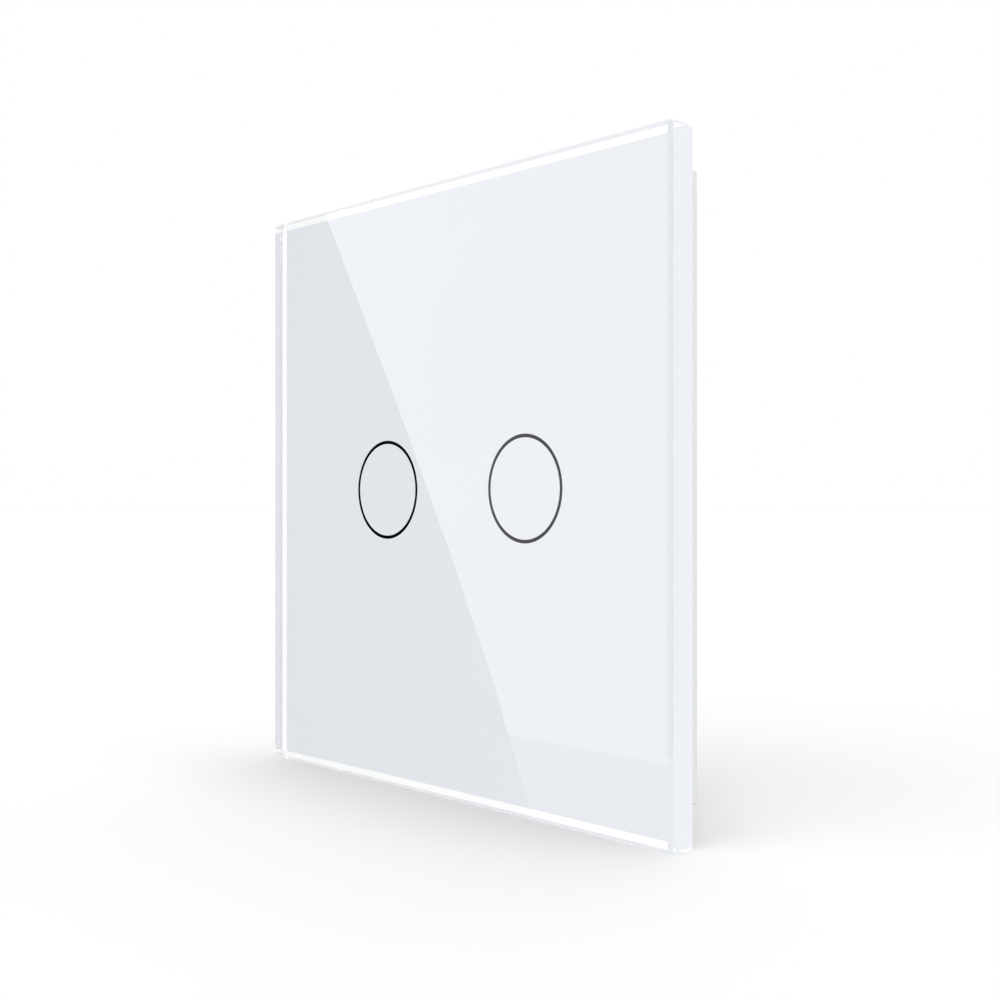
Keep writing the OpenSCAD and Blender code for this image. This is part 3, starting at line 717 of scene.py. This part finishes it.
def add_piece(
    name: str, mesh: bpy.types.Mesh, body: str, finish: Finish
) -> bpy.types.Object:
    """Put a new mesh in the scene as a piece that rides on a body.

    Args:
        name: Name of the piece.
        mesh: Its mesh, in metres in the shared frame.
        body: CAD body that it moves with.
        finish: Its finish.

    Returns:
        The piece.
    """
    piece = bpy.data.objects.new(name, mesh)
    bpy.context.scene.collection.objects.link(piece)
    mesh.materials.clear()
    mesh.materials.append(finish.material())
    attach(piece, body)
    LOG.info("piece %s rides on %s", name, body)
    return piece


def mesh_of(name: str, fill: Callable[[bmesh.types.BMesh], None]) -> bpy.types.Mesh:
    """Make a smooth mesh with sharp edges from a function that fills it.

    Args:
        name: Name of the mesh.
        fill: Adds the faces.

    Returns:
        The mesh.
    """
    bm = bmesh.new()
    fill(bm)
    bmesh.ops.recalc_face_normals(bm, faces=bm.faces)
    for face in bm.faces:
        face.smooth = True
    for edge in bm.edges:
        edge.smooth = edge.is_manifold and edge.calc_face_angle(0.0) < SHARP_ANGLE
    mesh = bpy.data.meshes.new(name)
    bm.to_mesh(mesh)
    bm.free()
    return mesh


def sweep(bm: bmesh.types.BMesh, rings: list[list[Vector]], closed: bool = False) -> None:
    """Join rings of points into a skin.

    Args:
        bm: Mesh to add to.
        rings: Rings with the same number of points, in order.
        closed: Whether the last ring meets the first; otherwise both ends are capped.
    """
    made = [[bm.verts.new(p) for p in ring] for ring in rings]
    count = len(made[0])
    pairs = list(zip(made, made[1:])) + ([(made[-1], made[0])] if closed else [])
    for low, high in pairs:
        for j in range(count):
            k = (j + 1) % count
            bm.faces.new((low[j], low[k], high[k], high[j]))
    if not closed:
        bm.faces.new(made[0])
        bm.faces.new(made[-1])


def turned(
    bm: bmesh.types.BMesh, centre: Point, outline: list[tuple[float, float]], axis: str = "Y"
) -> None:
    """Turn a closed outline about an axis through a point.

    Args:
        bm: Mesh to add to.
        centre: Point on the axis.
        outline: Radius and height pairs that go round the section.
        axis: Y or X.
    """
    rings = []
    for i in range(TURN_STEPS):
        turn = FULL_TURN * i / TURN_STEPS
        flat = (math.cos(turn), math.sin(turn))
        ring = []
        for radius, height in outline:
            if axis == "Y":
                off = Vector((radius * flat[0], height, radius * flat[1]))
            else:
                off = Vector((height, radius * flat[0], radius * flat[1]))
            ring.append(Vector(centre) + off)
        rings.append(ring)
    sweep(bm, rings, closed=True)


@dataclass
class FrontPanel:
    """Glass, print, ring marks, tape and frame, which pull off together."""

    body: str = "front_panel"
    print_front: float = -5.0 * MM
    lap: float = 0.02 * MM
    frame_edge: Rounding = Rounding(0.1 * MM)

    def build(self) -> None:
        """Print the back of the glass so that the coat is bonded to it, with no film of air."""
        coats = (
            ("print_coat", "white_backprint", PRINT, "white_enamel"),
            ("ring_mark_left", "ring_window_left", INK, "smoked_ink"),
            ("ring_mark_right", "ring_window_right", INK, "smoked_ink"),
        )
        for name, node, finish, slot in coats:
            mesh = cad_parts[node].data.copy()
            mesh.name = name
            for vertex in mesh.vertices:
                if vertex.co.y < self.print_front + self.lap:
                    vertex.co.y -= self.lap
            piece = add_piece(name, mesh, self.body, finish)
            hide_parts(node)

    def dress(self) -> None:
        """Finish the glass, the tape and the frame."""
        dress(PANE, "glass_panel")
        dress(TAPE, "bonding_tape")
        dress(FRAME_SKIN, "panel_frame")
        self.frame_edge.apply("panel_frame")


@dataclass
class TouchSpring:
    """A wound wire that carries a touch from the glass to the sensor board."""

    side: str
    middle_x: float
    radius: float = 4.0 * MM
    wire: float = 0.4 * MM
    foot_y: float = 0.4 * MM
    tip_y: float = -4.75 * MM
    bend: float = 0.3 * MM
    turns: float = 4.375
    steps: int = 105
    wire_sides: int = 12
    bend_angles: tuple[float, ...] = tuple(math.radians(15.0 * i) for i in range(7))

    def _route(self) -> list[tuple[float, float]]:
        """Give the wire's route as turned angle and height over the board."""
        top = self.foot_y - self.tip_y
        first = self.bend / self.radius
        rise = top - 2.0 * (self.wire + self.bend)
        last = first + FULL_TURN * self.turns
        route = [(0.0, 0.0)]
        route += [
            (first * (1.0 - math.cos(t)), self.wire + self.bend * math.sin(t))
            for t in self.bend_angles
        ]
        route += [
            (
                first + (last - first) * i / self.steps,
                self.wire + self.bend + rise * i / self.steps,
            )
            for i in range(1, self.steps)
        ]
        route += [
            (last + first * math.sin(t), top - self.wire - self.bend * math.cos(t))
            for t in self.bend_angles
        ]
        return route + [(last + first, top)]

    def _fill(self, bm: bmesh.types.BMesh) -> None:
        """Sweep the round wire along the route."""
        route = self._route()
        path = [
            Vector(
                (
                    self.middle_x + self.radius * math.cos(angle),
                    self.foot_y - height,
                    self.radius * math.sin(angle),
                )
            )
            for angle, height in route
        ]
        rings = []
        for i, (angle, _) in enumerate(route):
            ahead = (path[min(i + 1, len(path) - 1)] - path[max(i - 1, 0)]).normalized()
            out = Vector((math.cos(angle), 0.0, math.sin(angle)))
            across = (out - out.dot(ahead) * ahead).normalized()
            up = ahead.cross(across)
            turns = [FULL_TURN * j / self.wire_sides for j in range(self.wire_sides)]
            rings.append(
                [
                    path[i] + self.wire / 2.0 * (math.cos(t) * across + math.sin(t) * up)
                    for t in turns
                ]
            )
        sweep(bm, rings)

    def build(self) -> None:
        """Wind the wire and let it stand for the CAD spring."""
        name = f"touch_coil_{self.side}"
        piece = add_piece(name, mesh_of(name, self._fill), "base", SPRING_WIRE)
        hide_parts(f"touch_spring_{self.side}")


@dataclass
class TouchModule:
    """Bracket, cover, light guides, springs and the sensor board with its parts."""

    key_x: float = 14.0 * MM
    pad_in: float = 3.3 * MM
    pad_out: float = 4.7 * MM
    pad_y: float = 0.4 * MM
    pad_t: float = 0.04 * MM
    sheet_edge: Rounding = Rounding(0.12 * MM)
    cover_edge: Rounding = Rounding(0.18 * MM)

    def build(self) -> None:
        """Wind both springs and plate the pads that they stand on."""
        for side, sign in (("left", -1.0), ("right", 1.0)):
            TouchSpring(side, sign * self.key_x).build()
            outline = [
                (self.pad_in, 0.0),
                (self.pad_out, 0.0),
                (self.pad_out, -self.pad_t),
                (self.pad_in, -self.pad_t),
            ]
            centre = (sign * self.key_x, self.pad_y, 0.0)
            name = f"touch_pad_{side}"
            mesh = mesh_of(name, lambda bm: turned(bm, centre, outline))
            add_piece(name, mesh, "base", PADS)

    def dress(self) -> None:
        """Finish the bracket, the cover and the front electronics."""
        dress(SHEET, "mounting_bracket")
        self.sheet_edge.apply("mounting_bracket")
        dress(COVER_SKIN, "front_cover")
        self.cover_edge.apply("front_cover")
        dress(GUIDE, "light_guide_left", "light_guide_right")
        dress(BOARD, "sensor_board")
        dress(LAMPS, "indicator_leds")
        dress(
            LeadedResin(
                "controller_resin", (0.025, 0.025, 0.027), "X", middle=0.0, half=1.96, roughness=0.6
            ),
            "touch_controller_chip",
        )
        dress(
            ChipParts("small_chip_ceramic", (0.42, 0.30, 0.18), middle=2.0, half=0.62),
            "sensor_passives",
        )
        dress(BLACK, "board_header", "header_socket")
        dress(BRASS, "header_pins")


@dataclass
class PowerModule:
    """Power board and the parts of its supply."""

    part_edge: Rounding = Rounding(0.3 * MM, 3)

    def dress(self) -> None:
        """Finish the board and every part on it."""
        dress(BOARD, "power_board")
        dress(Moulding("film_box_resin", (0.72, 0.47, 0.05), 0.28, 0.5, 0.01), "film_capacitor")
        self.part_edge.apply("film_capacitor")
        dress(
            SleevedCan(
                "capacitor_sleeve",
                sleeve=(0.02, 0.03, 0.08),
                stripe=(0.62, 0.64, 0.66),
                at=(-7.8, 13.26),
                end_y=12.95,
                bare_r=3.4,
            ),
            "smoothing_capacitor",
        )
        dress(
            LeadedResin(
                "dipped_blue_resin",
                (0.03, 0.14, 0.42),
                "Y",
                middle=12.0,
                half=5.2,
                roughness=0.25,
                peel=1.0,
                depth=0.03,
            ),
            "surge_disc",
        )
        bands = (
            (0.2, (0.30, 0.02, 0.02)),
            (0.4, (0.02, 0.02, 0.02)),
            (0.6, (0.02, 0.02, 0.02)),
            (0.8, (0.55, 0.42, 0.12)),
        )
        dress(
            BandedBody("banded_resistor", (0.60, 0.44, 0.26), start=6.1, length=7.0, bands=bands),
            "fuse_resistor",
        )
        for title, node, middle, half in (
            ("rectifier_resin", "bridge_rectifier", 9.8, 2.31),
            ("regulator_resin", "regulator_chip", 3.05, 1.76),
        ):
            dress(LeadedResin(title, (0.022, 0.022, 0.024), "X", middle, half, 0.6), node)


@dataclass
class Relay:
    """One relay: base, yoke, coil, contact, armature and case."""

    number: int
    middle_x: float
    coil_y: float = 10.3 * MM
    coil_z: float = -3.690354 * MM
    coil_start: float = -5.8 * MM
    coil_end: float = 4.05 * MM
    winding_r: float = 3.0 * MM
    winding_t: float = 0.3 * MM
    wire: float = 0.18 * MM
    wire_arc: tuple[float, ...] = (0.0, 0.25, 0.5, 0.75)
    case_edge: Rounding = Rounding(0.3 * MM, 3)

    def build(self) -> None:
        """Lay the top layer of the winding between the bobbin's cheeks."""
        inner_r = self.winding_r - self.winding_t
        outline = [(inner_r, self.coil_end), (inner_r, self.coil_start)]
        length = self.coil_end - self.coil_start
        count = int(length / self.wire)
        pitch = length / count
        for i in range(count):
            start = self.coil_start + i * pitch
            for share in self.wire_arc:
                lift = math.sin(math.pi * share) * self.wire / 2.0
                outline.append((self.winding_r + lift, start + share * pitch))
        outline.append((self.winding_r, self.coil_end))
        centre = (self.middle_x, self.coil_y, self.coil_z)
        name = f"relay_winding_{self.number}"
        mesh = mesh_of(name, lambda bm: turned(bm, centre, outline, "X"))
        add_piece(name, mesh, "base", COPPER)

    def dress(self) -> None:
        """Finish the relay's parts."""
        n = self.number
        dress(BLACK, f"relay_base_{n}", f"relay_coil_{n}")
        dress(IRON, f"relay_yoke_{n}", f"relay_armature_{n}")
        dress(BRASS, f"relay_contact_{n}")
        dress(RELAY_SKIN, f"relay_case_{n}")
        self.case_edge.apply(f"relay_case_{n}")


@dataclass
class TerminalRow:
    """Terminal block with its contacts, clamp screws and cages; places are in millimetres."""

    way_x: tuple[float, ...] = (-11.4, -3.8, 3.8, 11.4)
    clamp_z: float = -15.090354
    head_edge: Rounding = Rounding(0.12 * MM)

    def dress(self) -> None:
        """Finish the block and each clamp."""
        dress(DARK_GREY, "terminal_block")
        dress(BRASS, "terminal_contacts")
        for i, x in enumerate(self.way_x, 1):
            dress(
                TurnedScrew(f"clamp_screw_plate_{i}", (0.58, 0.57, 0.54), (x, self.clamp_z)),
                f"terminal_screw_{i}",
            )
            self.head_edge.apply(f"terminal_screw_{i}")
            dress(STEEL, f"terminal_cage_{i}")


@dataclass
class RearHousing:
    """The box behind the bracket, and the screws that hold it to the cover."""

    box_edge: Rounding = Rounding(0.25 * MM)

    def dress(self) -> None:
        """Finish the box and its screws."""
        dress(HOUSING_SKIN, "rear_housing")
        self.box_edge.apply("rear_housing")
        dress(SCREW_PLATE, "housing_screws")


@dataclass(frozen=True)
class FloorPaint(Finish):
    """Pale studio floor."""

    colour: Colour

    def shade(self, recipe: Recipe) -> Wire:
        """Give a matt white with no gloss."""
        return recipe.principled(Base_Color=self.colour, Roughness=1.0, Specular_IOR_Level=0.0)


@dataclass(frozen=True)
class FlagCloth(Finish):
    """Black cloth of a flag or card, which only reflections show."""

    def shade(self, recipe: Recipe) -> Wire:
        """Give a deep matt black."""
        return recipe.node("ShaderNodeBsdfDiffuse", {}, {"Color": (0.0, 0.0, 0.0)})


CLOTH = FlagCloth("black_cloth")


class Reach(Enum):
    """What a lamp shines on, as the state of the floor in its light links."""

    FLOOR = "INCLUDE"
    OBJECT = "EXCLUDE"


@dataclass
class Lamp:
    """A wide soft light from far away; one with no shadow is a fill that makes no glints."""

    name: str
    toward: Point
    spread: float
    strength: float
    reach: Reach
    shadow: bool = True

    def build(self, floor: list[bpy.types.Object]) -> None:
        """Hang the lamp so that it shines from its direction.

        Args:
            floor: Sheets of the floor, which the lamp's reach takes in or leaves out.
        """
        light = bpy.data.lights.new(self.name, "SUN")
        light.angle = math.radians(self.spread)
        light.energy = self.strength
        light.use_shadow = self.shadow
        lamp = bpy.data.objects.new(self.name, light)
        lamp.visible_glossy = self.shadow
        lamp.visible_transmission = self.shadow
        bpy.context.scene.collection.objects.link(lamp)
        lamp.rotation_euler = Vector(self.toward).to_track_quat("Z", "Y").to_euler()
        sheets = bpy.data.collections.new(f"{self.name}_sheets")
        for sheet in floor:
            sheets.objects.link(sheet)
        lamp.light_linking.receiver_collection = sheets
        for item in sheets.collection_objects:
            item.light_linking.link_state = self.reach.value


@dataclass
class Studio:
    """Camera, floor, lamps and surroundings, in metres.

    The lens, the sensor and the flag's edge are in millimetres. The edge is given on the front of
    the glass, where it shows mirrored.
    """

    eye: Point = (0.14342, -0.12368, -0.00141)
    turn: float = math.radians(48.913)
    lens: float = 51.03
    sensor: float = 36.0
    near: float = 0.005
    floor_z: float = -0.0401
    floor_half: float = 6.0
    floor_strip: tuple[float, float] = (-0.049, -0.007)
    floor_white: float = 0.875
    sky: float = 0.05
    through: float = 1.07
    mirrored: float = 1.69
    wall_top: float = 0.45
    sheen: float = 0.5
    glass_front: float = -0.009
    card_turn: float = math.radians(42.5)
    card_far: float = 0.5
    card_half: tuple[float, float] = (0.1, 0.2)
    flag_y: float = -0.35
    flag_left: float = -0.0415
    flag_lift: float = 0.00005
    flag_edge: tuple[tuple[float, float], ...] = (
        (-27.11, 40.99),
        (-18.22, 26.4),
        (-7.89, 9.3),
        (2.26, -8.41),
        (11.05, -24.81),
        (17.9, -39.9),
    )

    def camera(self) -> None:
        """Set the camera where the picture was taken from."""
        data = bpy.data.cameras.new("viewpoint")
        data.lens = self.lens
        data.sensor_width = self.sensor
        data.clip_start = self.near
        camera = bpy.data.objects.new("viewpoint", data)
        bpy.context.scene.collection.objects.link(camera)
        camera.location = self.eye
        camera.rotation_euler = (math.pi / 2.0, 0.0, self.turn)
        bpy.context.scene.camera = camera

    def _sheet(
        self, name: str, corners: list[Any], faces: list[tuple[int, ...]], finish: Finish
    ) -> bpy.types.Object:
        """Lay a stage piece of flat faces.

        Args:
            name: Name of the piece.
            corners: Its corners.
            faces: Corner numbers of each face.
            finish: Its finish.

        Returns:
            The piece.
        """
        mesh = bpy.data.meshes.new(name)
        mesh.from_pydata(corners, [], faces)
        mesh.materials.append(finish.material())
        sheet = bpy.data.objects.new(name, mesh)
        bpy.context.scene.collection.objects.link(sheet)
        return sheet

    def floor(self) -> list[bpy.types.Object]:
        """Lay the floor in three sheets, of which the glass mirrors only the middle one.

        Returns:
            The sheets.
        """
        white = FloorPaint("floor_white", (self.floor_white,) * 3)
        h = self.floor_half
        front, back = self.floor_strip
        sheets = []
        for name, low, high in (
            ("floor_front", -h, front),
            ("floor_strip", front, back),
            ("floor_back", back, h),
        ):
            corners = [
                (-h, low, self.floor_z),
                (h, low, self.floor_z),
                (h, high, self.floor_z),
                (-h, high, self.floor_z),
            ]
            sheet = self._sheet(name, corners, [(0, 1, 2, 3)], white)
            sheet.visible_glossy = name == "floor_strip"
            sheet.visible_transmission = False
            sheets.append(sheet)
        return sheets

    def _mirrored_at(self, x: float, z: float) -> Vector:
        """Give the place on the flag or the floor that the camera sees mirrored in the glass.

        Args:
            x: Place across the front of the glass.
            z: Height on the front of the glass.

        Returns:
            The mirrored place.
        """
        eye = Vector((self.eye[0], 2.0 * self.glass_front - self.eye[1], self.eye[2]))
        ray = Vector((x, self.glass_front, z)) - eye
        reach = (self.flag_y - eye.y) / ray.y
        lying = self.floor_z + self.flag_lift - eye.z
        if ray.z < 0.0:
            reach = min(reach, lying / ray.z)
        return eye + reach * ray

    def flag(self) -> None:
        """Hang a dark flag, draped onto the floor, that the left of the glass mirrors."""
        depth = (self.flag_y + self.eye[1] - 2.0 * self.glass_front) / (
            self.eye[1] - self.glass_front
        )
        crease = self.eye[2] + (self.floor_z + self.flag_lift - self.eye[2]) / depth
        edge = [(x * MM, z * MM) for x, z in self.flag_edge]
        for i, ((x0, z0), (x1, z1)) in enumerate(zip(edge, edge[1:])):
            if z1 < crease < z0:
                edge.insert(i + 1, (x0 + (x1 - x0) * (z0 - crease) / (z0 - z1), crease))
                break
        corners = []
        for x, z in edge:
            corners += [self._mirrored_at(self.flag_left, z), self._mirrored_at(x, z)]
        faces = [(2 * i, 2 * i + 1, 2 * i + 3, 2 * i + 2) for i in range(len(edge) - 1)]
        self._mirror_only(self._sheet("flag", corners, faces, CLOTH))

    @staticmethod
    def _mirror_only(sheet: bpy.types.Object) -> None:
        """Let only polished surfaces see a sheet."""
        sheet.visible_camera = False
        sheet.visible_diffuse = False
        sheet.visible_transmission = False
        sheet.visible_shadow = False

    def back_card(self) -> None:
        """Stand a dark card behind the camera, which the upright bevels mirror."""
        out = Vector((math.sin(self.card_turn), -math.cos(self.card_turn), 0.0))
        across = Vector((out.y, -out.x, 0.0)) * self.card_half[0]
        up = Vector((0.0, 0.0, self.card_half[1]))
        middle = out * self.card_far
        corners = [
            middle - across - up,
            middle + across - up,
            middle + across + up,
            middle - across + up,
        ]
        card = self._sheet("back_card", corners, [(0, 1, 2, 3)], CLOTH)
        self._mirror_only(card)

    def lamps(self, floor: list[bpy.types.Object]) -> None:
        """Hang four lamps over the floor and five around the object.

        Args:
            floor: Sheets of the floor.
        """
        # Each row: name, direction to the lamp, spread in degrees, strength, reach, shadow.
        for lamp in (
            Lamp("even_lamp", (0.0, 0.0, 1.0), 10.0, 1.17, Reach.FLOOR, False),
            Lamp("top_lamp", (0.192, 0.015, 0.981), 38.4, 1.535, Reach.FLOOR),
            Lamp("fore_lamp", (-0.092, -0.627, 0.774), 48.4, 0.558, Reach.FLOOR),
            Lamp("aft_lamp", (-0.245, 0.394, 0.886), 36.8, 0.404, Reach.FLOOR),
            Lamp("key_lamp", (0.81, -0.465, 0.358), 24.4, 3.66, Reach.OBJECT),
            Lamp("front_lamp", (0.216, -0.937, 0.276), 30.0, 1.3, Reach.OBJECT),
            Lamp("rear_lamp", (0.0, 0.94, 0.342), 24.0, 1.75, Reach.OBJECT),
            Lamp("back_fill", (0.0, 1.0, 0.0), 26.0, 1.15, Reach.OBJECT, False),
            Lamp("left_lamp", (-0.937, -0.165, 0.309), 24.0, 2.2, Reach.OBJECT),
        ):
            lamp.build(floor)

    def surroundings(self) -> None:
        """Surround the scene with white that lights it softly."""
        world = bpy.data.worlds.new("white_room")
        bpy.context.scene.world = world
        world.use_nodes = True
        recipe = Recipe(world.node_tree)
        sharp = recipe.ray("Is Singular Ray")
        crossed = recipe.ray("Is Transmission Ray")
        seen = recipe.ray("Is Camera Ray").most(sharp).most(crossed)
        blurred = recipe.ray("Is Glossy Ray") * (1.0 - seen)
        wall = recipe.node("ShaderNodeTexCoord", {}, {}, "Generated").part("Z") < self.wall_top
        strength = (
            seen * (1.0 - self.sky)
            + sharp * recipe.ray("Is Reflection Ray") * wall * (self.mirrored - 1.0)
            + crossed * (self.through - 1.0)
            + blurred * (self.sheen - self.sky)
            + self.sky
        )
        sky = recipe.node(
            "ShaderNodeBackground", {}, {"Color": (1.0, 1.0, 1.0), "Strength": strength}
        )
        recipe.node("ShaderNodeOutputWorld", {}, {"Surface": sky})

    def build(self) -> None:
        """Set up the whole studio."""
        self.camera()
        floor = self.floor()
        self.flag()
        self.back_card()
        self.lamps(floor)
        self.surroundings()
        scene = bpy.context.scene
        scene.view_settings.view_transform = "Standard"
        scene.cycles.max_bounces = 16
        scene.cycles.diffuse_bounces = 0
        scene.cycles.transmission_bounces = 16
        scene.cycles.glossy_bounces = 8
        scene.cycles.transparent_max_bounces = 16


def main() -> None:
    """Build every sub-assembly in order and set up the studio."""
    logging.basicConfig(level=logging.INFO, format="%(message)s")
    panel = FrontPanel()
    touch = TouchModule()
    relays = [Relay(1, -RELAY_X), Relay(2, RELAY_X)]
    for part in (panel, touch, *relays):
        part.build()
    for part in (panel, touch, PowerModule(), *relays, TerminalRow(), RearHousing()):
        part.dress()
        LOG.info("dressed %s", type(part).__name__)
    Studio().build()


if __name__ == "__main__":
    main()
